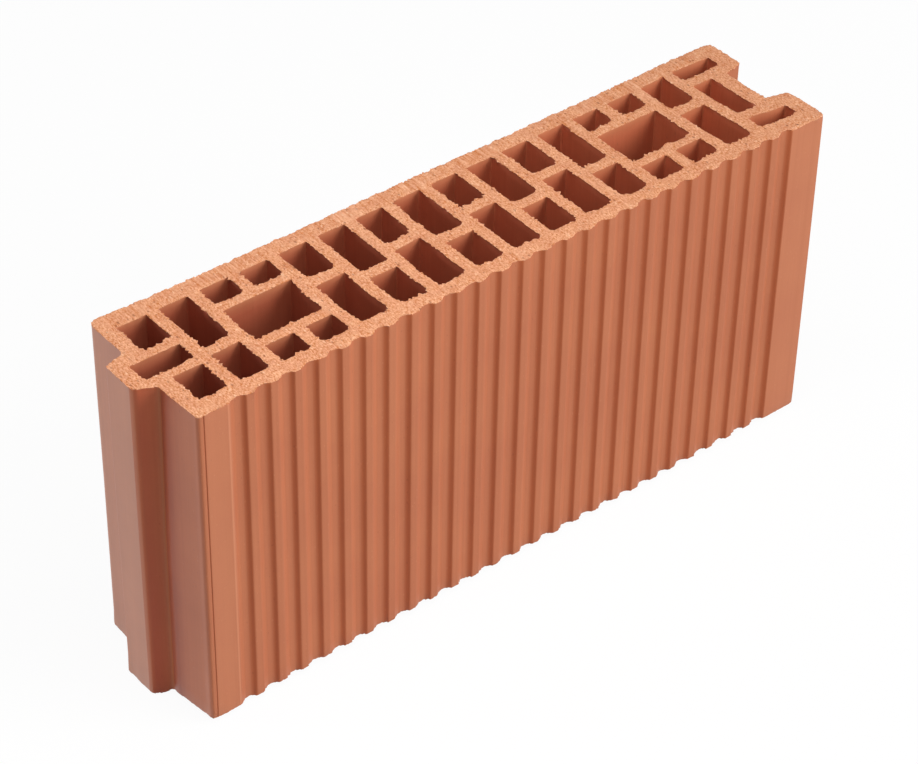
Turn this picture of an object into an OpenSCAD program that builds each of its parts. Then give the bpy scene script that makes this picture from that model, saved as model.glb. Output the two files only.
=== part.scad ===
// Hollow clay brick for partition walls: one extruded, wire-cut and fired piece.
// It stands on its lower bed face. The tongue points to -X, the groove to +X
// and the front ribbed face to -Y. The holes run right through along Z.

/* [Brick] */
// Length from end face to end face, without the tongue
brick_l = 498; // [400:1:620]
// Thickness over the rib crests of both long faces
brick_w = 110; // [96:1:150]
// Height between the two wire-cut bed faces
brick_h = 244; // [80:1:330]
// Radius of the two upright corners of the front face
front_corner_r = 2.5; // [0.5:0.1:5]
// Radius of the two upright corners of the back face
back_corner_r = 6; // [0.5:0.1:9]

/* [Tongue and groove] */
// Reach of the tongue beyond its end face
tongue_l = 15; // [8:0.5:22]
// Width of the tongue where it leaves the end face
tongue_root_w = 37; // [30:0.5:42]
// Width of the tongue across its tip
tongue_tip_w = 29; // [22:0.5:34]
// Radius of the two corners of the tongue's tip
tongue_tip_r = 3; // [0.5:0.1:5]
// Fillet between the tongue and its end face
tongue_root_r = 4; // [0.5:0.1:5]
// Room between the tongue's tip and the floor of the next brick's groove
key_end_gap = 0.5; // [0.2:0.1:4]
// Room on each side of the tongue in the next brick's groove
key_side_gap = 3.6; // [1:0.1:5]
// Radius of the lips at the mouth of the groove
groove_lip_r = 3; // [0.5:0.1:4]
// Fillet in the two corners of the groove's floor
groove_floor_r = 3.5; // [0.5:0.1:5]
// Shift of tongue and groove from the middle towards the back face
key_shift = 1.5; // [-3:0.1:3]

/* [Ribs] */
// Distance from one rib to the next
rib_pitch = 17.4; // [16.5:0.1:24]
// Depth of the grooves between the ribs
rib_depth = 2.6; // [1:0.1:2.8]
// Width of the ramp that leads down into each groove
rib_ramp_w = 4.8; // [2:0.1:5.5]
// Width of the floor of each groove, from its ramp to its flank
rib_floor_w = 4.9; // [3:0.1:5.5]
// Width of the steeper flank that leads up to the next rib
rib_flank_w = 2.7; // [2.4:0.1:3.6]
// Fillet at the foot of the flank
rib_foot_r = 6; // [1:0.1:6]
// Rounding of the rib crest at the top of the flank
rib_crest_r = 2; // [0.5:0.1:2]
// Plain band between the tongue's end and the first groove
first_band_w = 22.5; // [10:0.5:40]
// Least width of the plain band left at the other end
last_band_w = 24; // [10:0.5:40]

/* [Walls] */
// Wall between the rib crests and the nearest holes
face_wall_t = 12.4; // [9:0.1:15]
// Wall between the tongue's end face and the nearest holes
end_wall_t = 10.4; // [8:0.1:14]
// Wall between the groove's end face and the flat slots
slot_wall_t = 12; // [8:0.1:16]
// Web between neighbouring columns of holes
web_t = 8.3; // [6:0.1:12]
// Web across a column, between its front hole and its back hole
cross_web_t = 8.1; // [6:0.1:11]
// Webs beside the grip holes and the tongue hole
grip_web_t = 7; // [5:0.1:10]
// Wall between the tongue's tip and the hole that reaches into the tongue
tongue_wall_t = 11; // [7:0.1:14]
// Wall between the floor of the groove and the hole behind it
groove_wall_t = 11.5; // [8:0.1:16]

/* [Holes] */
// Length of a hole along the brick
hole_l = 21.3; // [17:0.1:26]
// Shift of each cross web from the middle, to the front and the back in turn
cross_web_shift = 7.2; // [0:0.1:12]
// Width of the hole that reaches into the tongue
tongue_hole_w = 16.3; // [10:0.1:20]
// Width of the two large grip holes
grip_w = 35; // [28:0.5:42]
// Width of the two flat slots beside the groove
end_slot_w = 12; // [8:0.1:14]
// Least length of the hole behind the groove
end_hole_min_l = 12; // [8:0.5:16]
// Columns of holes between the tongue's end and the first grip hole
columns_before_grip = 2; // [1:1:3]
// Columns of holes between the second grip hole and the holes at the groove
columns_after_grip = 1; // [1:1:3]
// Radius in the corners of the holes
hole_r = 2.5; // [0.5:0.1:3.5]

/* [Hidden] */
// Roundness of the arcs
$fn = 48;
// Overshoot of cuts and fillets past the edges that they work on
overshoot = 1;
// Arcs are this much larger, so that they cross the edges they round and don't just touch them
arc_slack = 0.002;
// A grip hole spans this many columns
grip_columns = 2;

// The overall length with the tongue is centred on the origin
x_tongue_end = (tongue_l - brick_l) / 2;
x_groove_end = (tongue_l + brick_l) / 2;
half_w = brick_w / 2;

// The groove takes the tongue of the next brick with the two named gaps
groove_l = tongue_l + key_end_gap;
groove_mouth_w = tongue_root_w + 2 * key_side_gap;
groove_floor_w = tongue_tip_w + 2 * key_side_gap;
x_groove_floor = x_groove_end - groove_l;

// Outline of the section, counter-clockwise: x, y and the radius of each corner
outline = [
    [x_tongue_end, -half_w, front_corner_r],
    [x_groove_end, -half_w, front_corner_r],
    [x_groove_end, key_shift - groove_mouth_w / 2, groove_lip_r],
    [x_groove_floor, key_shift - groove_floor_w / 2, groove_floor_r],
    [x_groove_floor, key_shift + groove_floor_w / 2, groove_floor_r],
    [x_groove_end, key_shift + groove_mouth_w / 2, groove_lip_r],
    [x_groove_end, half_w, back_corner_r],
    [x_tongue_end, half_w, back_corner_r],
    [x_tongue_end, key_shift + tongue_root_w / 2, tongue_root_r],
    [x_tongue_end - tongue_l, key_shift + tongue_tip_w / 2, tongue_tip_r],
    [x_tongue_end - tongue_l, key_shift - tongue_tip_w / 2, tongue_tip_r],
    [x_tongue_end, key_shift - tongue_root_w / 2, tongue_root_r]
];

// Grooves between the ribs: a ramp, a floor and a flank, each flank's top on the rib pitch
rib_groove_w = rib_ramp_w + rib_floor_w + rib_flank_w;
rib_grooves = 1 + floor((brick_l - first_band_w - last_band_w - rib_groove_w) / rib_pitch);
x_first_flank = x_tongue_end + first_band_w + rib_groove_w;

// The holes keep inside these limits across the brick
field = half_w - face_wall_t;

// Columns fill the length, and the holes at the groove take up what is left
column_pitch = hole_l + web_t;
x_first_column = x_tongue_end + end_wall_t;
x_end_hole = x_groove_floor - groove_wall_t;
x_end_slot = x_groove_end - slot_wall_t;
columns = floor((x_end_hole - end_hole_min_l - x_first_column) / column_pitch);
first_grip = columns_before_grip;
second_grip = columns - columns_after_grip - grip_columns;

// Left side of a column
function column_x(i) = x_first_column + i * column_pitch;

// Whether a column belongs to one of the two grip holes
function in_grip(i, grip) = i >= grip && i < grip + grip_columns;

// Every hole is one row of limits: x from, x to, y from, y to

// The front and back hole of an ordinary column, its cross web shifted in turn
function staggered_holes(i) =
    let (web_y = cross_web_shift * (i % 2 == 0 ? 1 : -1))
    [for (side = [-1, 1])
        [column_x(i), column_x(i) + hole_l,
            side < 0 ? -field : web_y + cross_web_t / 2,
            side < 0 ? web_y - cross_web_t / 2 : field]];

// The holes at the tongue: one reaches into the tongue, two stand beside it
function tongue_holes() =
    let (inner = tongue_hole_w / 2 + grip_web_t, x_to = column_x(0) + hole_l)
    [
        [x_tongue_end - tongue_l + tongue_wall_t, x_to, -tongue_hole_w / 2, tongue_hole_w / 2],
        [column_x(0), x_to, -field, -inner],
        [column_x(0), x_to, inner, field]
    ];

// A grip hole and the small holes in front of it and behind it
function grip_holes(first) =
    let (inner = grip_w / 2 + grip_web_t, last = first + grip_columns - 1)
    concat(
        [[column_x(first), column_x(last) + hole_l, -grip_w / 2, grip_w / 2]],
        [for (i = [first : last], side = [-1, 1])
            [column_x(i), column_x(i) + hole_l,
                side < 0 ? -field : inner,
                side < 0 ? -inner : field]]
    );

// The hole behind the groove and the flat slots on both sides of the groove
function groove_holes() =
    let (slot_y = field - end_slot_w, end_y = slot_y - cross_web_t)
    [
        [column_x(columns), x_end_hole, -end_y, end_y],
        [column_x(columns), x_end_slot, -field, -slot_y],
        [column_x(columns), x_end_slot, slot_y, field]
    ];

ordinary_columns = [for (i = [1 : columns - 1])
    if (!in_grip(i, first_grip) && !in_grip(i, second_grip)) i];

holes = concat(
    tongue_holes(),
    [for (i = ordinary_columns) each staggered_holes(i)],
    grip_holes(first_grip),
    grip_holes(second_grip),
    groove_holes()
);

function unit(v) = v / norm(v);

// The sliver between a sharp corner and an arc of radius r that rounds it,
// drawn a little past the corner
module corner_sliver(before, corner, after, r) {
    to_before = unit(before - corner);
    to_after = unit(after - corner);
    inwards = unit(to_before + to_after);
    half_angle = acos(to_before * to_after) / 2;
    touch = r / tan(half_angle);
    centre = corner + inwards * r / sin(half_angle);
    difference() {
        polygon([
            corner - inwards * overshoot,
            corner + to_before * touch,
            centre,
            corner + to_after * touch
        ]);
        translate(centre) circle(r + arc_slack);
    }
}

// A counter-clockwise outline with true arcs at its corners, each row x, y, radius
module rounded_outline(rows) {
    count = len(rows);
    points = [for (row = rows) [row.x, row.y]];
    before = [for (i = [0 : count - 1]) points[(i + count - 1) % count]];
    after = [for (i = [0 : count - 1]) points[(i + 1) % count]];
    convex = [for (i = [0 : count - 1]) cross(points[i] - before[i], after[i] - points[i]) > 0];
    difference() {
        union() {
            polygon(points);
            for (i = [0 : count - 1])
                if (!convex[i]) corner_sliver(before[i], points[i], after[i], rows[i].z);
        }
        for (i = [0 : count - 1])
            if (convex[i]) corner_sliver(before[i], points[i], after[i], rows[i].z);
    }
}

// One groove between two ribs of the front face, its flank filleted at the foot
// and rounded at the top, which is at x = 0
module rib_groove() {
    ramp_run = rib_ramp_w / rib_depth;
    flank_run = rib_flank_w / rib_depth;
    ramp_foot = [rib_ramp_w - rib_groove_w, rib_depth];
    flank_foot = [-rib_flank_w, rib_depth];
    flank_top = [0, 0];
    on_crest = [rib_pitch - rib_groove_w, 0];
    difference() {
        polygon([
            [-rib_groove_w - ramp_run * overshoot, -overshoot],
            [flank_run * overshoot, -overshoot],
            flank_foot,
            ramp_foot
        ]);
        corner_sliver(ramp_foot, flank_foot, flank_top, rib_foot_r);
    }
    corner_sliver(flank_foot, flank_top, on_crest, rib_crest_r);
}

// All the grooves of the front face, and the same on the back face
module rib_grooves_2d() {
    for (side = [0, 1], i = [0 : rib_grooves - 1])
        mirror([0, side, 0]) translate([x_first_flank + i * rib_pitch, -half_w]) rib_groove();
}

// One hole with rounded corners
module hole_2d(limits) {
    rounded_outline([
        [limits[0], limits[2], hole_r],
        [limits[1], limits[2], hole_r],
        [limits[1], limits[3], hole_r],
        [limits[0], limits[3], hole_r]
    ]);
}

// The die's section: keyed ends, ribbed faces and the pattern of holes
module section() {
    difference() {
        rounded_outline(outline);
        rib_grooves_2d();
        for (limits = holes) hole_2d(limits);
    }
}

module clay_brick() {
    color([0.78, 0.47, 0.35]) linear_extrude(height = brick_h) section();
}

clay_brick();
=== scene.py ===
import math
import bmesh
import bpy
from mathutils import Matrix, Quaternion, Vector, noise


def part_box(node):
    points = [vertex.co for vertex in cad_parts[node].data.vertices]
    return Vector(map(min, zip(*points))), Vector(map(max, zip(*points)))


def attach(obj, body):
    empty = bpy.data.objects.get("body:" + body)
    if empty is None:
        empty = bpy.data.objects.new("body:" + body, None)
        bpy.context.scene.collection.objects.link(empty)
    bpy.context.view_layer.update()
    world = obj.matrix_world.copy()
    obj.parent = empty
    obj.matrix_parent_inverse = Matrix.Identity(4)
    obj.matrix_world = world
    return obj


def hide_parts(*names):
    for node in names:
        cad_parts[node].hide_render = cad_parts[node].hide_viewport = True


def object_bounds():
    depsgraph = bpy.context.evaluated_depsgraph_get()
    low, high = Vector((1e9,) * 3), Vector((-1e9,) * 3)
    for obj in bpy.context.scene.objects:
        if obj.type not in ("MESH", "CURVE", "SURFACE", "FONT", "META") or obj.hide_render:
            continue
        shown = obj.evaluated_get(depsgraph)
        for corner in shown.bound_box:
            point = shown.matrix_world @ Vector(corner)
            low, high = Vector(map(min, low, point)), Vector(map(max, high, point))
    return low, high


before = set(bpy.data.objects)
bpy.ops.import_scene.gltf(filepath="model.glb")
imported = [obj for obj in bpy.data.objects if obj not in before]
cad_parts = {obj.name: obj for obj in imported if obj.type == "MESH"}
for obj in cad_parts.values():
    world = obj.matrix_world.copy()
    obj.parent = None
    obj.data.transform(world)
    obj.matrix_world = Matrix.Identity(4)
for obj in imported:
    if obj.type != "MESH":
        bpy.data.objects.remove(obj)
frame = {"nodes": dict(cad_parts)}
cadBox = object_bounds()
mm = 0.001
print("frame loaded:", ", ".join(frame["nodes"]))


# The brick, worked in millimetres: its section is sliced into fine cells and roughened as the wire left it

brickShape = {
    "node": "clay_brick",
    "tongueReach": 15.0, "tongueRoot": 26.0,  # the tongue's length, and half its width at the root
    "endEdge": 1.0,  # walls within this of the end face belong to the tongue end
    "bedFrom": 0.9,  # faces that look up or down by more than this are beds
    "touch": 0.05,  # points within this of a place lie on it
    "waveSize": 55.0, "wave": 0.25,  # slow waves of the walls
    "seed": 7.3,
    # each kind of roughness reads its own part of the noise
    "draws": {
        "grain": 0, "swell": 3, "pit": 11, "coarse": 21, "fine": 31, "wave": 41,
        "rimDrop": 51, "flare": 61, "chip": 71, "fill": 81, "drag": 91, "torn": 101,
    },
}

low, high = (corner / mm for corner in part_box(brickShape["node"]))
middle = (low + high) / 2
endFace = low.x + brickShape["tongueReach"]  # the end face that the tongue stands on

cutFinish, ribFinish, endFinish, shoulderFinish, holeFinish = range(5)  # material slots of the brick


def clamp(value):
    return max(0.0, min(1.0, value))


def fade(distance, reach):
    return math.exp(-(distance / reach) ** 2)


def rough(x, y, z, size, kind):
    s = brickShape["draws"][kind] + brickShape["seed"]
    return noise.noise(Vector((x / size + s, y / size - s, z / size + 2 * s)))


def isBed(face):
    return abs(face.normal.z) > brickShape["bedFrom"]


# which outer walls are finished as ends: how squarely they face along the brick, and where they lie
endWalls = {
    "flat": 0.998, "flatInset": 3.5,  # the flat of an end, short of its corners
    "backArc": 0.3, "frontArc": 0.6, "arcDeep": 7.0, "arcLong": 6.0,  # the rounded upright corners
    "shoulderFrom": 20.0,  # the shoulder before the tongue starts this far from the middle
    "tip": 0.84, "tipFrom": 5.0,  # the tongue's tip
}


def wallFinish(face):
    c, along = face.calc_center_median(), abs(face.normal.x)
    atTongue = c.x < endFace + endWalls["arcLong"]
    atEnd = atTongue or c.x > high.x - endWalls["arcLong"]
    backArc = along > endWalls["backArc"] and atEnd and c.y > high.y - endWalls["arcDeep"]
    frontArc = along > endWalls["frontArc"] and atTongue and c.y < endWalls["arcDeep"] - high.y
    flat = along > endWalls["flat"] and abs(c.y) < high.y - endWalls["flatInset"]
    if backArc or frontArc or flat:
        return shoulderFinish if c.y < -endWalls["shoulderFrom"] and c.x < 0 else endFinish
    atTip = along > endWalls["tip"] and c.x < endFace - endWalls["tipFrom"]
    return shoulderFinish if atTip else ribFinish


def markFinishes(bm):
    for face in bm.faces:
        face.material_index = cutFinish if isBed(face) else holeFinish
    first = min((f for f in bm.faces if not isBed(f)), key=lambda f: f.calc_center_median().x)
    ring = [first]  # the outer walls are the ring that the tongue belongs to
    while ring:
        face = ring.pop()
        face.material_index = wallFinish(face)
        ring += [f for e in face.edges for f in e.link_faces if f.material_index == holeFinish]


# changes of radius at the upright corners
corners = {
    "slant": 0.02,  # walls that face both along and across by more than this are in a corner
    "holeSharper": 1.5, "grooveSharper": 2.2, "tipRounder": 2.5,
    "tipFrom": 10.0,  # the tip's corners lie further out than this
    "grooveHalf": 30.0, "grooveMouth": 8.0,  # the groove's inner corners lie within these
}


def cornerChange(v, n, finish):
    if finish == holeFinish:
        return corners["holeSharper"] if n.y < 0 else 0.0
    if v.co.x < endFace - corners["tipFrom"]:
        return corners["tipRounder"] if n.y < 0 else 0.0
    inGroove = abs(v.co.y) < corners["grooveHalf"] and v.co.x < high.x - corners["grooveMouth"]
    return corners["grooveSharper"] if inGroove and n.x > 0 and n.y * v.co.y < 0 else 0.0


def reshapeCorners(bm):
    for v in bm.verts:
        walls = [f for f in v.link_faces if not isBed(f)]
        n = sum((f.normal for f in walls), Vector()).normalized()
        if min(abs(n.x), abs(n.y)) > corners["slant"]:
            more = Vector((n.x - math.copysign(1, n.x), n.y - math.copysign(1, n.y), 0))
            v.co += more * cornerChange(v, n, walls[0].material_index)


# lines on the plain band at the front left, with places from the end face
band = {
    "scribe": {"at": 4.4, "width": 0.9, "out": -0.55},  # a scribed line beside the corner
    "ridge": {"at": 21.7, "width": 1.8, "out": 0.2},  # a low ridge before the first groove
}

cells = {
    "along": 1.2, "across": 1.5,
    "rimLevels": (0.6, 1.7, 4.5, 10.0),  # cuts below the upper bed face
    "footLevels": (1.7, 10.0),  # cuts above the lower bed face
    "wallLevels": (0.5,),  # cuts of the plain walls, as shares of the height
    "joinWithin": 0.005, "flatWithin": 0.3,  # mm and degrees, to clear the solid's own facets
    "snap": 0.02, "mergeWithin": 0.12, "thinnest": 0.01,
    "lineClear": 0.3,  # no other cut comes this near to the scribed line or the ridge
    "splitFrom": 0.7,  # longer stretches of a rim are halved
    "sharpFrom": 50.0,  # degrees between two cells that show as an edge
}


def copyNode(name):
    bm = bmesh.new()
    bm.from_mesh(frame["nodes"][name].data)
    bmesh.ops.scale(bm, vec=(1 / mm,) * 3, verts=bm.verts)
    bmesh.ops.remove_doubles(bm, verts=bm.verts, dist=cells["joinWithin"])
    flat = math.radians(cells["flatWithin"])
    bmesh.ops.dissolve_limit(bm, angle_limit=flat, verts=bm.verts, edges=bm.edges)
    bm.normal_update()
    return bm


def pointsOf(part):
    return (part,) if isinstance(part, bmesh.types.BMVert) else part.verts


def cutAlong(bm, axis, places, faces):
    geom = list(dict.fromkeys(g for f in faces for g in (f, *f.edges, *f.verts)))
    normal = Vector((axis == 0, axis == 1, axis == 2))
    for place in places:
        cut = bmesh.ops.bisect_plane(bm, geom=geom, dist=cells["snap"],
                                     plane_co=normal * place, plane_no=normal)
        limit = place + cells["snap"] / 2  # only what lies ahead of this cut is cut again
        geom = [g for g in cut["geom"] if any(v.co[axis] > limit for v in pointsOf(g))]


def spaced(start, end, step):
    count = round((end - start) / step)
    return [start + (end - start) * (i + 0.5) / count for i in range(count)]


def isLongRim(edge):
    return sum(isBed(f) for f in edge.link_faces) == 1 and edge.calc_length() > cells["splitFrom"]


def sliceBrick(bm):
    lines = []
    for line in band.values():
        at, half = endFace + line["at"], line["width"] / 2
        lines += [at - half, at, at + half]
    plain = [x for x in spaced(low.x, high.x, cells["along"])
             if all(abs(x - at) > cells["lineClear"] for at in lines)]
    cutAlong(bm, 0, sorted(plain + lines), bm.faces)
    cutAlong(bm, 1, spaced(low.y, high.y, cells["across"]), bm.faces)
    levels = [low.z + r for r in cells["footLevels"]] + [high.z - r for r in cells["rimLevels"]]
    levels += [low.z + share * (high.z - low.z) for share in cells["wallLevels"]]
    cutAlong(bm, 2, sorted(levels), [f for f in bm.faces if not isBed(f)])
    bmesh.ops.remove_doubles(bm, verts=bm.verts, dist=cells["mergeWithin"])
    bmesh.ops.dissolve_degenerate(bm, edges=bm.edges, dist=cells["thinnest"])
    bm.normal_update()
    bmesh.ops.subdivide_edges(bm, edges=[e for e in bm.edges if isLongRim(e)], cuts=1)
    bm.normal_update()
    print("brick sliced:", len(bm.faces), "cells")


def sharpenRims(bm):
    scribeAt, scribeWidth = endFace + band["scribe"]["at"], band["scribe"]["width"]
    for face in bm.faces:
        face.smooth = True
    for edge in bm.edges:
        if len(edge.link_faces) == 2:
            a, b = edge.link_faces
            even = edge.calc_face_angle() < math.radians(cells["sharpFrom"])
            onScribe = all(abs(v.co.x - scribeAt) < scribeWidth for v in edge.verts)
            edge.smooth = a.material_index == b.material_index and even
            if a.material_index == ribFinish and onScribe:
                edge.smooth = False


# what the cutting wire left on its way towards +Y
wireCut = {
    "grainSize": 1.9, "grain": 0.16,  # torn grain of the bed faces
    "dragAcross": 1.3, "dragAlong": 9.0, "drag": 0.25,  # lines along the wire's travel
    "dragFrom": 33.0, "dragPatch": 18.0, "dragThin": 0.5, "dragThick": 1.5,  # where they show
    "scratchAcross": 1.2, "scratchAlong": 26.0, "scratchFrom": 0.33, "scratchEdge": 6.0, "scratch": 0.5,
    "swellSize": 30.0, "swell": 0.25,
    "pitSize": 2.6, "pitFrom": 0.45, "pitEdge": 5.0, "pit": 0.5,
    "rimDrop": 0.15, "rimDropSize": 2.4,  # the rims are worn down a little
    "rimApart": 50.0,  # keeps the upper rims' raggedness apart from the lower ones'
    "coarseSize": 5.0, "fineSize": 1.7,  # lengths of the ragged rims
    "coarseReach": 2.0, "fineReach": 0.8,  # depths to which a rim is disturbed
    "tornSize": 16.0, "torn": 1.6, "tornLeast": 0.3,  # some stretches are torn more than others
    "bite": 0.45,  # a rim breaks back no further than this
    "cornerBurr": 0.7,  # clay left in the front corners of the holes
    "chipSize": 3.2,  # length of the chips off the upper rims
    "footChamfer": 0.5, "footReach": 1.0,
}

# push, coarse and fine raggedness of a rim, by the side that it faces
rimSides = {
    "holeFront": (0.4, 1.2, 1.3),  # the wire pulled a burr over these
    "holeLeft": (0.15, 0.7, 1.5),
    "holeRight": (0.1, 0.45, 1.1),
    "holeBack": (0.05, 0.25, 0.4),
    "front": (-0.1, 0.4, 0.5),
    "back": (0.3, 0.4, 0.9),
    "leftEnd": (0.0, 0.25, 0.25),
    "rightEnd": (0.1, 0.8, 1.0),
}


def dragAt(x, y, z):  # the wire's lines show towards the back, and in patches
    share = max(0.0, (y - wireCut["dragFrom"]) / (high.y - wireCut["dragFrom"]))
    patch = max(0.0, rough(x, y, z, wireCut["dragPatch"], "drag"))
    return min(1.0, share * (wireCut["dragThin"] + wireCut["dragThick"] * patch) + patch)


def bedRelief(x, y, z, drag):
    s = brickShape["seed"]
    lines = noise.noise(Vector((x / wireCut["dragAcross"] + s, y / wireCut["dragAlong"], z + s)))
    scratch = noise.noise(Vector((x / wireCut["scratchAcross"] - s, y / wireCut["scratchAlong"] + s, z)))
    pit = rough(x, y, z, wireCut["pitSize"], "pit")
    h = wireCut["grain"] * rough(x, y, z, wireCut["grainSize"], "grain")
    h += wireCut["drag"] * drag * lines
    h -= wireCut["scratch"] * clamp((scratch - wireCut["scratchFrom"]) * wireCut["scratchEdge"])
    h += wireCut["swell"] * rough(x, y, z, wireCut["swellSize"], "swell")
    return h - wireCut["pit"] * clamp((pit - wireCut["pitFrom"]) * wireCut["pitEdge"])


def rimShift(x, y, n, finish, up, depth):
    inside = finish == holeFinish
    sides = (
        ("holeFront" if inside else "back", max(0.0, n.y)),
        ("holeBack" if inside else "front", max(0.0, -n.y)),
        ("holeLeft" if inside else "rightEnd", max(0.0, n.x)),
        ("holeRight" if inside else "leftEnd", max(0.0, -n.x)),
    )
    push, coarse, fine = (sum(rimSides[side][i] * share for side, share in sides) for i in range(3))
    z = up * wireCut["rimApart"]
    torn = 1.0
    if inside:
        push += wireCut["cornerBurr"] * abs(n.x) * max(0.0, n.y)
        torn += wireCut["torn"] * rough(x, y, z, wireCut["tornSize"], "torn")
        torn = max(wireCut["tornLeast"], torn)
    coarse *= torn * rough(x, y, z, wireCut["coarseSize"], "coarse")
    fine *= torn * rough(x, y, z, wireCut["fineSize"], "fine")
    out = (push + coarse) * fade(depth, wireCut["coarseReach"]) + fine * fade(depth, wireCut["fineReach"])
    return max(-wireCut["bite"], out)


def chipRims(bm):
    for face in bm.faces:
        if not isBed(face):
            x, y, z = face.calc_center_median()
            if high.z - z < cells["rimLevels"][0] and rough(x, y, z, wireCut["chipSize"], "chip") > 0:
                face.material_index = cutFinish


# clay dragged over the mouths of the back grooves
grooveFill = {
    "share": 0.95, "reach": 3.5, "uneven": 0.5, "unevenSize": 5.0,
    "skin": 3.2, "facing": 0.3,  # how deep the grooves lie, and how squarely their walls face the back
    "ends": 8.0, "rise": 4.0,  # none at the upright corners
}


def fillGrooves(x, y, z, n, depth):
    if y <= high.y - grooveFill["skin"] or n.y <= grooveFill["facing"]:
        return 0.0
    fromEnds = min(x - endFace, high.x - x) - grooveFill["ends"]
    share = grooveFill["share"] * fade(depth, grooveFill["reach"]) * clamp(fromEnds / grooveFill["rise"])
    uneven = 1 + grooveFill["uneven"] * rough(x, y, z, grooveFill["unevenSize"], "fill")
    return (high.y - y) * share * uneven


# the tongue end sagged while the clay was soft: its lower bed drops, with a burr along the foot
foot = {
    "level": 10.0,  # height up to which the walls follow
    "drop": 1.1, "sag": 3.3, "sagReach": 50.0,  # over the whole bed, at the tongue end, and how far along
    "tongueRise": 6.0,  # the tongue takes the whole sag
    "shoulderShare": 0.68, "shoulderFade": 30.0,  # the shoulder takes less of it, from its corner inwards
    "rootFrom": 22.0, "rootRise": 15.0,  # the middle takes the whole of it again
    "backMore": 0.6, "backRise": 20.0, "backFade": 20.0,  # more behind the tongue, none at the back corner
    "bulge": 0.55, "bulgeHalf": 20.0,  # more under the middle of the tongue
    "cornerLift": 1.2, "cornerReach": 4.0,  # the lower front corner is worn round
    "facing": -0.5,  # the burr is on walls that face the tongue end
    "flare": 0.8, "flareReach": 2.5, "flareFrom": 15.0, "flareRise": 30.0,
    "flareLeast": 0.6, "uneven": 0.8, "unevenSize": 9.0,
    "rootFlare": 2.6, "rootWidth": 7.0,  # more of it behind the tongue
}


def footDrop(x, y):
    onTongue = clamp((endFace + brickShape["endEdge"] - x) / foot["tongueRise"])
    if y < 0:
        shoulder = foot["shoulderShare"] * (1 - (y - low.y) / foot["shoulderFade"])
        share = clamp(max(onTongue, shoulder, (y + foot["rootFrom"]) / foot["rootRise"]))
    else:
        behind = 1 + foot["backMore"] * min(1.0, y / foot["backRise"]) * (1 - onTongue)
        share = max(0.0, min(behind, (high.y - y) / foot["backFade"]))
    share += foot["bulge"] * onTongue * max(0.0, 1 - (y / foot["bulgeHalf"]) ** 2)
    worn = fade(math.hypot(x - endFace, y - low.y), foot["cornerReach"])
    sag = foot["sag"] * share * fade(x - endFace, foot["sagReach"])
    return foot["drop"] + sag - foot["cornerLift"] * worn


def flareFoot(x, y, z, n):
    if x >= endFace + brickShape["endEdge"] or n.x >= foot["facing"]:
        return 0.0
    uneven = foot["flareLeast"] + foot["uneven"] * rough(x, y, z, foot["unevenSize"], "flare")
    out = foot["flare"] * clamp((y + foot["flareFrom"]) / foot["flareRise"]) * uneven
    if x > endFace - brickShape["endEdge"]:
        out += foot["rootFlare"] * fade(y - brickShape["tongueRoot"], foot["rootWidth"])
    return out * math.exp(-(z - low.z) / foot["flareReach"])


# where the brick was bent as the clay left the die
bends = {
    "bowLeft": 2.8, "bowPower": 8,  # the back face bows out at its left end
    "bowRight": -1.6, "bowRise": 1.9, "bowFall": 1.5,  # and in along its right half
    "bowDepth": 14.0, "bowFade": 10.0,  # the bow fades inwards from the back face
    "tongueLean": 1.0,  # the tongue leans to the back
    "endSkew": 2.0, "skewFrom": 0.5,  # the front of the groove end leans out
    "shoulderFrom": 10.0, "shoulderInset": 6.0, "shoulderRise": 25.0,
    "shoulderShift": 1.2, "shoulderLean": 3.0,  # the shoulder leans out, most of all at its foot
    "reach": 14.0, "farthest": 6.0,
    # webs: place along and across, shift along and across
    "webs": (
        (215, -36, 1.8, 3.2), (245, -37, 1.5, 0.3), (219, -20, 1.4, 2.2), (213, 39, -0.8, 1.4),
        (192, -38, 1.5, 0.8), (167, -33, 2.0, 1.0), (137, -33, 1.0, 0.0), (46, -5, 0.0, -2.0),
        (-172, 0, -1.2, 0.0), (-122, 0, -2.2, 0.0), (-112, -22, -1.6, 0.0), (-195, -3, 0.0, -1.4),
        (-50, 13, -1.0, -1.8), (-50, -25, -1.6, 0.0), (-82, -20, -1.2, 0.3), (-22, 15, -1.4, 1.4),
    ),
}


def leanShoulder(x, y, z):
    if x >= endFace + brickShape["endEdge"] or y >= -bends["shoulderFrom"]:
        return 0.0
    fromCorner = (y - low.y - bends["shoulderInset"]) / bends["shoulderRise"]
    inner = clamp(min(fromCorner, (x - low.x) / brickShape["tongueReach"]))
    above = (z - low.z) / (high.z - low.z)
    return inner * (bends["shoulderShift"] + bends["shoulderLean"] * (1 - above ** 2))


def bendShift(x, y):
    move = Vector()
    share = max(-1.0, min(1.0, 2 * (x - endFace) / (high.x - endFace) - 1))
    bow = bends["bowLeft"] * max(0.0, -share) ** bends["bowPower"]
    bow += bends["bowRight"] * max(0.0, share * (bends["bowRise"] - bends["bowFall"] * share))
    move.y += bow * clamp((y - high.y + bends["bowDepth"]) / bends["bowFade"])
    for atX, atY, byX, byY in bends["webs"]:
        far = ((x - atX) ** 2 + (y - atY) ** 2) / bends["reach"] ** 2
        if far < bends["farthest"]:
            move += Vector((byX, byY, 0)) * math.exp(-far)
    move.y += bends["tongueLean"] * max(0.0, endFace - x) / brickShape["tongueReach"]
    ahead = max(0.0, (x - middle.x) / (high.x - middle.x) - bends["skewFrom"]) / (1 - bends["skewFrom"])
    move.x += bends["endSkew"] * ahead ** 2 * max(0.0, -y / high.y)
    return move


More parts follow.
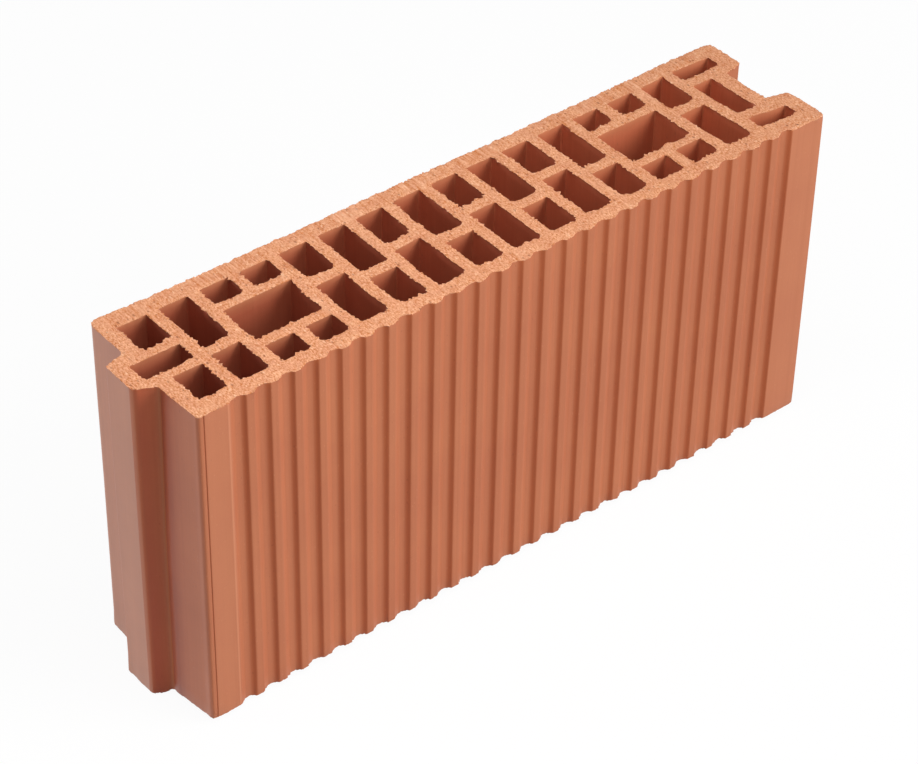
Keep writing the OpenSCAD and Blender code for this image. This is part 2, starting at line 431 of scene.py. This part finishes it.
# where the skin is paler or carries painted light, painted shade or painted red bounce light, as shares of
# the finishes' own tones
skinTones = {
    "holeLit": 0.8, "holeReach": 4.0,  # painted light on the back walls of the holes, next to the cut
    "rimReach": 1.5,  # painted shadow along the rims of the holes' right walls
    "flankFrom": 0.25, "flankRise": 0.3,  # painted shade, deeper in tone, on the flanks of the ribs that face the tongue end
    "farFrom": 0.1, "farRise": 1.8,  # the other flanks less so
    "cornerReach": 4.0, "cornerShare": 0.35,  # and so is the upright corner
    # painted shade on the tongue's front flank
    "tongueFront": 0.6,
    "rootReach": 6.0,  # painted shade on the shoulder next to the tongue
    "bounceAt": 40.0, "bounceReach": 30.0, "bounceLeast": 0.35, "bounceMore": 0.5,  # painted red bounce light up the tongue's front
    "bounceRoot": 0.4, "bounceRise": 15.0,  # more towards its tip
    "bandEdge": 1.0, "rightBand": 28.0, "bandRubbed": 0.2, "ridgeHighlight": 0.7,  # plain bands of the front are paler; the ridge gets a painted highlight
}


# paler bands, a painted highlight on the ridge, and painted light on the holes' back walls next to the cut
def paleAndLitAt(x, y, n, finish, depth):
    if finish == holeFinish:
        return skinTones["holeLit"] * max(0.0, -n.y) * math.exp(-depth / skinTones["holeReach"])
    if y >= low.y + brickShape["touch"]:
        return 0.0
    fromScribe, fromRidge = (x - endFace - band[line]["at"] for line in ("scribe", "ridge"))
    if abs(fromRidge) < brickShape["touch"]:
        return skinTones["ridgeHighlight"]
    onBand = fromScribe > skinTones["bandEdge"] and fromRidge < skinTones["bandEdge"]
    return skinTones["bandRubbed"] if onBand or x > high.x - skinTones["rightBand"] else 0.0


# painted shade on the rib flanks that face the tongue end, on the tongue's front and on the shoulder next to
# it; a painted shadow along the holes' right rims
def paintedShadeAt(x, y, n, finish, depth):
    if finish == holeFinish:
        return max(0.0, -n.x) * fade(depth, skinTones["rimReach"])
    if x < endFace - brickShape["endEdge"]:
        return skinTones["tongueFront"] if finish == ribFinish and n.y < 0 else 0.0
    if finish == shoulderFinish:
        return math.exp((y + brickShape["tongueRoot"]) / skinTones["rootReach"])
    flank = clamp((-n.x - skinTones["flankFrom"]) / skinTones["flankRise"])
    flank = max(flank, (n.x - skinTones["farFrom"]) / skinTones["farRise"])
    return flank * (skinTones["cornerShare"] if x < endFace + skinTones["cornerReach"] else 1.0)


# painted red bounce light on the front of the tongue
def paintedBounceAt(x, z, n, finish):
    if finish == holeFinish or x >= endFace - brickShape["endEdge"]:
        return 0.0
    bounce = skinTones["bounceMore"] * fade(z - low.z - skinTones["bounceAt"], skinTones["bounceReach"])
    outwards = min(1.0, skinTones["bounceRoot"] + (endFace - x) / skinTones["bounceRise"])
    return (skinTones["bounceLeast"] + bounce) * max(0.0, -n.y) * outwards


def skinMove(x, y, z, n, depth):
    move = Vector((-flareFoot(x, y, z, n) - leanShoulder(x, y, z), fillGrooves(x, y, z, n, depth), 0))
    for line in band.values():
        if y < low.y + brickShape["touch"] and abs(x - endFace - line["at"]) < brickShape["touch"]:
            move.y -= line["out"]
    return move - n * wireCut["footChamfer"] * fade(z - low.z, wireCut["footReach"])


def roughenBrick(bm):
    paleAndLit, paintedShade, dragged, paintedBounce = (
        bm.verts.layers.float.new(layer) for layer in ("paleAndLit", "paintedShade", "dragged", "paintedBounce"))
    moves = []
    for v in bm.verts:
        x, y, z = v.co
        up = 1 if z > middle.z else -1
        walls = [f for f in v.link_faces if not isBed(f)]
        onBed = len(walls) < len(v.link_faces)
        move = bendShift(x, y)
        move.z -= footDrop(x, y) * max(0.0, 1 - (z - low.z) / foot["level"]) ** 2
        if onBed:
            v[dragged] = dragAt(x, y, z)
            move.z += up * bedRelief(x, y, z, v[dragged])
        if walls:
            n = sum((f.normal * f.calc_area() for f in walls), Vector())
            n.z = 0
            n.normalize()
            finish = max(f.material_index for f in walls)
            depth = min(high.z - z, z - low.z)
            # paler and lit marks, painted shade and painted bounce light for the colour
            v[paleAndLit] = paleAndLitAt(x, y, n, finish, depth)
            v[paintedShade] = paintedShadeAt(x, y, n, finish, depth)
            v[paintedBounce] = paintedBounceAt(x, z, n, finish)
            move += n * brickShape["wave"] * rough(x, y, z, brickShape["waveSize"], "wave")
            move += n * rimShift(x, y, n, finish, up, depth)
            if finish != holeFinish:
                move += skinMove(x, y, z, n, depth)
            if onBed:
                worn = 1 + rough(x, y, z, wireCut["rimDropSize"], "rimDrop")
                move.z -= up * wireCut["rimDrop"] * worn
        moves.append((v, move))
    for v, move in moves:
        v.co += move
    print("brick roughened:", len(moves), "points")


def makeBrick():
    bm = copyNode(brickShape["node"])
    for step in (markFinishes, reshapeCorners, sliceBrick, sharpenRims, roughenBrick, chipRims):
        step(bm)
    bmesh.ops.scale(bm, vec=(mm,) * 3, verts=bm.verts)
    mesh = bpy.data.meshes.new("brick")
    bm.to_mesh(mesh)
    bm.free()
    brick = bpy.data.objects.new("brick", mesh)
    bpy.context.scene.collection.objects.link(brick)
    mesh.calc_loop_triangles()
    print("brick made:", len(mesh.loop_triangles), "triangles")
    return brick


# Finishes of the fired clay

def tone(red, green, blue):  # a colour as a screen shows it, made linear
    def linear(c):
        c /= 255
        return c / 12.92 if c <= 0.04045 else ((c + 0.055) / 1.055) ** 2.4
    return (linear(red), linear(green), linear(blue), 1.0)


def fit(tree, socket, value):
    if isinstance(value, bpy.types.NodeSocket):
        tree.links.new(value, socket)
    else:
        socket.default_value = value


def put(tree, kind, inputs=None, **settings):
    node = tree.nodes.new(kind)
    for name, value in settings.items():
        setattr(node, name, value)
    for name, value in (inputs or {}).items():
        fit(tree, node.inputs[name], value)
    return node


def maths(tree, operation, a, b=0.0):
    return put(tree, "ShaderNodeMath", {0: a, 1: b}, operation=operation).outputs[0]


def mixed(tree, amount, a, b, way="MIX"):
    return put(tree, "ShaderNodeMix", {0: amount, 6: a, 7: b}, data_type="RGBA", blend_type=way).outputs[2]


def spread(tree, value, least, most, to=(0.0, 1.0)):
    limits = {"From Min": least, "From Max": most, "To Min": to[0], "To Max": to[1]}
    return put(tree, "ShaderNodeMapRange", {"Value": value, **limits}).outputs[0]


def stretched(tree, vector, by):
    return put(tree, "ShaderNodeVectorMath", {0: vector, 1: by}, operation="MULTIPLY").outputs[0]


def mark(tree, name):
    return put(tree, "ShaderNodeAttribute", attribute_name=name).outputs["Fac"]


def newGroup(name, ins, outs):
    tree = bpy.data.node_groups.new(name, "ShaderNodeTree")
    for way, sockets in (("INPUT", ins), ("OUTPUT", outs)):
        for label, kind in sockets.items():
            tree.interface.new_socket(name=label, in_out=way, socket_type="NodeSocket" + kind)
    return tree, put(tree, "NodeGroupInput").outputs, put(tree, "NodeGroupOutput").inputs


clayTexture = {
    "grain": {"Detail": 4.0, "Roughness": 0.7},
    "drag": {"Detail": 2.0, "Roughness": 0.55},
    "cloud": {"Detail": 4.0, "Roughness": 0.6},
    "dots": {"Pits": (0.36, 0.3), "Specks": (0.47, 0.34)},  # how dense, and the largest radius
    "leastDot": 0.4, "dotEdge": 0.5,
    "dragWidths": {"Lines": 1.0, "Bands": 0.12},  # as shares of the lines' scale
    "cloudSpan": (0.32, 0.68), "shadeSpan": (0.34, 0.66), "glossSpan": (0.3, 0.7),  # values of a noise
    "alongSpan": (-0.2, 0.2),  # metres along the brick
}


def noiseOf(tree, kind, vector, scale):
    return put(tree, "ShaderNodeTexNoise", {"Vector": vector, "Scale": scale, **clayTexture[kind]}).outputs[0]


def clayGrain():  # torn grain, sparse pits and pale specks, all by the size of a grain in mm
    tree, ins, outs = newGroup("clayGrain", {"Vector": "Vector", "Size": "Float", "Share": "Float"},
                               {"Grain": "Float", "Pits": "Float", "Specks": "Float"})
    scale = maths(tree, "DIVIDE", 1 / mm, ins["Size"])
    fit(tree, outs["Grain"], noiseOf(tree, "grain", ins["Vector"], scale))
    for label, (density, radius) in clayTexture["dots"].items():
        places = {"Vector": ins["Vector"], "Scale": maths(tree, "MULTIPLY", scale, density)}
        dots = put(tree, "ShaderNodeTexVoronoi", places).outputs
        chance = put(tree, "ShaderNodeSeparateColor", {"Color": dots["Color"]}).outputs
        size = spread(tree, chance[1], 0.0, 1.0, (clayTexture["leastDot"] * radius, radius))
        near = maths(tree, "POWER", spread(tree, dots["Distance"], size, 0.0), clayTexture["dotEdge"])
        chosen = maths(tree, "LESS_THAN", chance[0], ins["Share"])
        fit(tree, outs[label], maths(tree, "MULTIPLY", near, chosen))
    return tree


def dragLines():  # lines and wider bands drawn out along one way
    tree, ins, outs = newGroup("dragLines", {"Vector": "Vector", "Stretch": "Vector", "Spacing": "Float"},
                               {"Lines": "Float", "Bands": "Float"})
    drawn = stretched(tree, ins["Vector"], ins["Stretch"])
    scale = maths(tree, "DIVIDE", 1 / mm, ins["Spacing"])
    for label, share in clayTexture["dragWidths"].items():
        fit(tree, outs[label], noiseOf(tree, "drag", drawn, maths(tree, "MULTIPLY", scale, share)))
    return tree


def firedTone():  # cloudy change between two tones of the kiln
    inputs = {"Vector": "Vector", "Patch": "Float", "Pale": "Color", "Deep": "Color"}
    tree, ins, outs = newGroup("firedTone", inputs, {"Color": "Color"})
    cloud = noiseOf(tree, "cloud", ins["Vector"], maths(tree, "DIVIDE", 1 / mm, ins["Patch"]))
    amount = spread(tree, cloud, *clayTexture["cloudSpan"])
    fit(tree, outs["Color"], mixed(tree, amount, ins["Deep"], ins["Pale"]))
    return tree


groups = {"grain": clayGrain(), "drag": dragLines(), "tone": firedTone()}


def use(tree, group, inputs):
    return put(tree, "ShaderNodeGroup", inputs, node_tree=groups[group]).outputs


upright, acrossWire = (1.0, 1.0, 0.012), (1.0, 0.1, 1.0)  # ways in which lines are drawn out
wallGrain, bedGrain = (1.0, 1.0, 0.5), (1.15, 0.62, 1.0)  # ways in which grain is drawn out

endClay = {
    "pale": (190, 107, 60), "deep": (182, 100, 54), "patch": 60.0,
    "pitTone": (140, 76, 56), "speckTone": (204, 138, 110), "share": 0.08, "pits": 0.3, "specks": 0.25,
    "drawn": wallGrain, "grainSize": 0.8, "grain": 0.3,
    "stretch": upright, "spacing": 2.2, "lines": 0.3, "bands": 0.4,
    "shade": (0.07, 0.1, 0.13), "roughness": (0.34, 0.42), "bump": 0.1, "bumpDepth": 0.1,
    "specular": 0.5, "ior": 1.9,
}

# paler and lit marks and painted bounce light are tones, painted shade and the painted light along the brick
# are tints
clayFinishes = {
    "cutClay": {
        "pale": (221, 156, 116), "deep": (209, 141, 104), "patch": 9.0,
        "pitTone": (140, 80, 54), "speckTone": (252, 216, 182), "share": 0.4, "pits": 0.8, "specks": 0.5,
        "drawn": bedGrain, "grainSize": 1.15, "grain": 0.9,
        "stretch": acrossWire, "spacing": 1.7, "lines": 0.05, "bands": 0.05, "dragged": 0.45,
        "shade": (0.28, 0.57, 0.88), "roughness": (0.85, 1.0), "bump": 0.6, "bumpDepth": 0.4,
        "specular": 0.2, "ior": 1.5,
    },
    "ribClay": {
        "pale": (187, 112, 76), "deep": (181, 105, 72), "patch": 70.0,
        "pitTone": (140, 74, 52), "speckTone": (206, 138, 104), "share": 0.1, "pits": 0.35, "specks": 0.3,
        "drawn": wallGrain, "grainSize": 0.8, "grain": 0.4,
        "stretch": upright, "spacing": 1.6, "lines": 0.3, "bands": 0.3,
        "along": ((1.04, 1.05, 1.04), (0.99, 0.99, 0.96)),  # painted light along the brick, at the tongue end and at the groove end
        # painted red bounce light, painted shade on the flanks, and paler bands with a painted highlight on
        # the ridge
        "paintedBounce": (190, 82, 66), "paintedShade": (0.93, 0.72, 0.53), "paleAndLit": (218, 144, 108),
        "shade": (0.06, 0.09, 0.12), "roughness": (0.52, 0.64), "bump": 0.15, "bumpDepth": 0.1,
        "specular": 0.3, "ior": 1.5,
    },
    "endClay": endClay,
    "shoulderClay": {  # less polished
        # its tint is painted shade next to the tongue
        **endClay, "pale": (190, 103, 60), "deep": (182, 96, 54), "paintedShade": (0.74, 0.52, 0.42), "ior": 1.53,
    },
    "holeClay": {
        "pale": (183, 97, 65), "deep": (173, 89, 59), "patch": 45.0,
        "pitTone": (120, 60, 42), "speckTone": (200, 124, 92), "share": 0.1, "pits": 0.3, "specks": 0.25,
        "drawn": wallGrain, "grainSize": 0.9, "grain": 0.4,
        "stretch": upright, "spacing": 1.6, "lines": 0.3, "bands": 0.3,
        # painted light along the brick: the holes are darker at the tongue end and lighter at the groove end
        "along": ((0.88, 0.8, 0.88), (1.16, 1.14, 1.12)),
        # painted shadow along the right walls' rims, painted light on the back walls next to the cut
        "paintedShade": (0.5, 0.38, 0.34), "paleAndLit": (216, 141, 98),
        "shade": (0.08, 0.11, 0.14), "roughness": (0.55, 0.7), "bump": 0.15, "bumpDepth": 0.12,
        "specular": 0.4, "ior": 1.5,
    },
}


def clayColour(tree, look, place, grain, drag):
    colour = use(tree, "tone", {"Vector": place, "Patch": look["patch"], "Pale": tone(*look["pale"]),
                                "Deep": tone(*look["deep"])})["Color"]
    shade = maths(tree, "MULTIPLY", grain["Grain"], look["grain"])
    for lines in ("lines", "bands"):
        shade = maths(tree, "ADD", shade, maths(tree, "MULTIPLY", drag[lines.capitalize()], look[lines]))
    if "dragged" in look:
        change = maths(tree, "SUBTRACT", drag["Lines"], grain["Grain"])
        more = maths(tree, "MULTIPLY", mark(tree, "dragged"), change)
        shade = maths(tree, "ADD", shade, maths(tree, "MULTIPLY", more, look["dragged"]))
    # the paler a grain, the less red it is
    worn, fresh = ([1 + way * share for share in look["shade"]] + [1] for way in (-1, 1))
    tint = mixed(tree, spread(tree, shade, *clayTexture["shadeSpan"]), worn, fresh)
    colour = mixed(tree, 1.0, colour, tint, "MULTIPLY")
    for dots, dotTone in (("pits", "pitTone"), ("specks", "speckTone")):
        amount = maths(tree, "MULTIPLY", grain[dots.capitalize()], look[dots])
        colour = mixed(tree, amount, colour, tone(*look[dotTone]))
    # painted light and shade that changes along the brick
    if "along" in look:
        along = put(tree, "ShaderNodeSeparateXYZ", {"Vector": place}).outputs["X"]
        ends = ((*end, 1.0) for end in look["along"])
        tint = mixed(tree, spread(tree, along, *clayTexture["alongSpan"]), *ends)
        colour = mixed(tree, 1.0, colour, tint, "MULTIPLY")
    # painted red bounce light
    if "paintedBounce" in look:
        colour = mixed(tree, mark(tree, "paintedBounce"), colour, tone(*look["paintedBounce"]))
    # painted shade
    if "paintedShade" in look:
        colour = mixed(tree, mark(tree, "paintedShade"), colour, (*look["paintedShade"], 1.0), "MULTIPLY")
    # paler bands, painted highlights and painted light
    if "paleAndLit" in look:
        colour = mixed(tree, mark(tree, "paleAndLit"), colour, tone(*look["paleAndLit"]))
    return colour


def clayMaterial(name):
    look = clayFinishes[name]
    material = bpy.data.materials.new(name)
    material.use_nodes = True
    tree = material.node_tree
    shader = tree.nodes["Principled BSDF"]
    place = put(tree, "ShaderNodeTexCoord").outputs["Object"]
    drawn = stretched(tree, place, look["drawn"])
    grain = use(tree, "grain", {"Vector": drawn, "Size": look["grainSize"], "Share": look["share"]})
    drag = use(tree, "drag", {"Vector": place, "Stretch": look["stretch"], "Spacing": look["spacing"]})
    fit(tree, shader.inputs["Base Color"], clayColour(tree, look, place, grain, drag))
    gloss = spread(tree, grain["Grain"], *clayTexture["glossSpan"], look["roughness"])
    fit(tree, shader.inputs["Roughness"], gloss)
    height = maths(tree, "SUBTRACT", maths(tree, "ADD", grain["Grain"], drag["Lines"]), grain["Pits"])
    relief = {"Height": height, "Strength": look["bump"], "Distance": look["bumpDepth"] * mm}
    fit(tree, shader.inputs["Normal"], put(tree, "ShaderNodeBump", relief).outputs[0])
    shader.inputs["Specular IOR Level"].default_value = look["specular"]
    shader.inputs["IOR"].default_value = look["ior"]
    return material


brick = makeBrick()
for finish in clayFinishes:
    brick.data.materials.append(clayMaterial(finish))
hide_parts(brickShape["node"])
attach(brick, "root")
print("finishes laid on:", ", ".join(clayFinishes))


# Floor, light and camera

studio = {
    "floorSize": 40.0, "floorTone": 0.72, "floorSeen": 1.0, "floorGlow": 0.95,
    "sky": 0.1,
    "lights": {
        "key": {"azimuth": 37.0, "elevation": 31.0, "distance": 3.2, "size": 2.2, "power": 88.0},
        "overhead": {"azimuth": -48.0, "elevation": 73.0, "distance": 0.88, "size": 0.6, "power": 4.6},
        "fill": {"azimuth": -128.0, "elevation": 8.0, "distance": 2.6, "size": 0.8, "power": 21.0},
    },
    "cameraPlace": (-972.172, -1168.153, 1366.407),  # mm
    "cameraAzimuth": -39.716, "cameraElevation": 39.512, "cameraRoll": 1.165,
    "focalPixels": 3033.644, "imageWidth": 918,
}
white = (1, 1, 1, 1)


def bearing(azimuth, elevation):
    a, e = math.radians(azimuth), math.radians(elevation)
    return Vector((math.sin(a) * math.cos(e), -math.cos(a) * math.cos(e), math.sin(e)))


def facing(back):
    return (-back).to_track_quat("-Z", "Y")


def seenDirectly(tree):
    path = put(tree, "ShaderNodeLightPath").outputs
    seen = maths(tree, "MAXIMUM", path["Is Camera Ray"], path["Is Glossy Ray"])
    return maths(tree, "MAXIMUM", seen, path["Is Transmission Ray"])


def makeFloor():
    bm = bmesh.new()
    bmesh.ops.create_grid(bm, x_segments=1, y_segments=1, size=studio["floorSize"] / 2)
    bmesh.ops.translate(bm, vec=(0, 0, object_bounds()[0].z), verts=bm.verts)
    mesh = bpy.data.meshes.new("floor")
    bm.to_mesh(mesh)
    bm.free()
    floor = bpy.data.objects.new("floor", mesh)
    bpy.context.scene.collection.objects.link(floor)
    material = bpy.data.materials.new("paleFloor")
    material.use_nodes = True
    tree = material.node_tree
    tree.nodes.remove(tree.nodes["Principled BSDF"])
    seen = seenDirectly(tree)
    pale = spread(tree, seen, 0.0, 1.0, (studio["floorTone"], studio["floorSeen"]))
    lit = put(tree, "ShaderNodeBsdfDiffuse", {"Color": pale})
    glow = put(tree, "ShaderNodeEmission", {"Color": white, "Strength": 1.0})
    amount = maths(tree, "MULTIPLY", seen, studio["floorGlow"])
    both = put(tree, "ShaderNodeMixShader", {0: amount, 1: lit.outputs[0], 2: glow.outputs[0]})
    fit(tree, tree.nodes["Material Output"].inputs["Surface"], both.outputs[0])
    mesh.materials.append(material)


def makeSky():
    world = bpy.data.worlds.new("studioSky")
    bpy.context.scene.world = world
    world.use_nodes = True
    tree = world.node_tree
    sky = tree.nodes["Background"].inputs
    sky["Color"].default_value = white
    fit(tree, sky["Strength"], spread(tree, seenDirectly(tree), 0.0, 1.0, (studio["sky"], 1.0)))


def makeLight(name):
    spec = studio["lights"][name]
    lamp = bpy.data.lights.new(name + "Light", "AREA")
    lamp.shape = "DISK"
    lamp.size, lamp.energy = spec["size"], spec["power"]
    light = bpy.data.objects.new(name + "Light", lamp)
    back = bearing(spec["azimuth"], spec["elevation"])
    light.location = back * spec["distance"] + (cadBox[0] + cadBox[1]) / 2
    light.rotation_mode = "QUATERNION"
    light.rotation_quaternion = facing(back)
    bpy.context.scene.collection.objects.link(light)


def makeCamera():
    data = bpy.data.cameras.new("camera")
    data.lens = studio["focalPixels"] / studio["imageWidth"] * data.sensor_width
    camera = bpy.data.objects.new("camera", data)
    camera.location = Vector(studio["cameraPlace"]) * mm
    roll = Quaternion((0, 0, 1), math.radians(studio["cameraRoll"]))
    camera.rotation_mode = "QUATERNION"
    camera.rotation_quaternion = facing(bearing(studio["cameraAzimuth"], studio["cameraElevation"])) @ roll
    bpy.context.scene.collection.objects.link(camera)
    bpy.context.scene.camera = camera


makeFloor()
makeSky()
for name in studio["lights"]:
    makeLight(name)
makeCamera()
bpy.context.scene.view_settings.view_transform = "Standard"
print("studio set up")
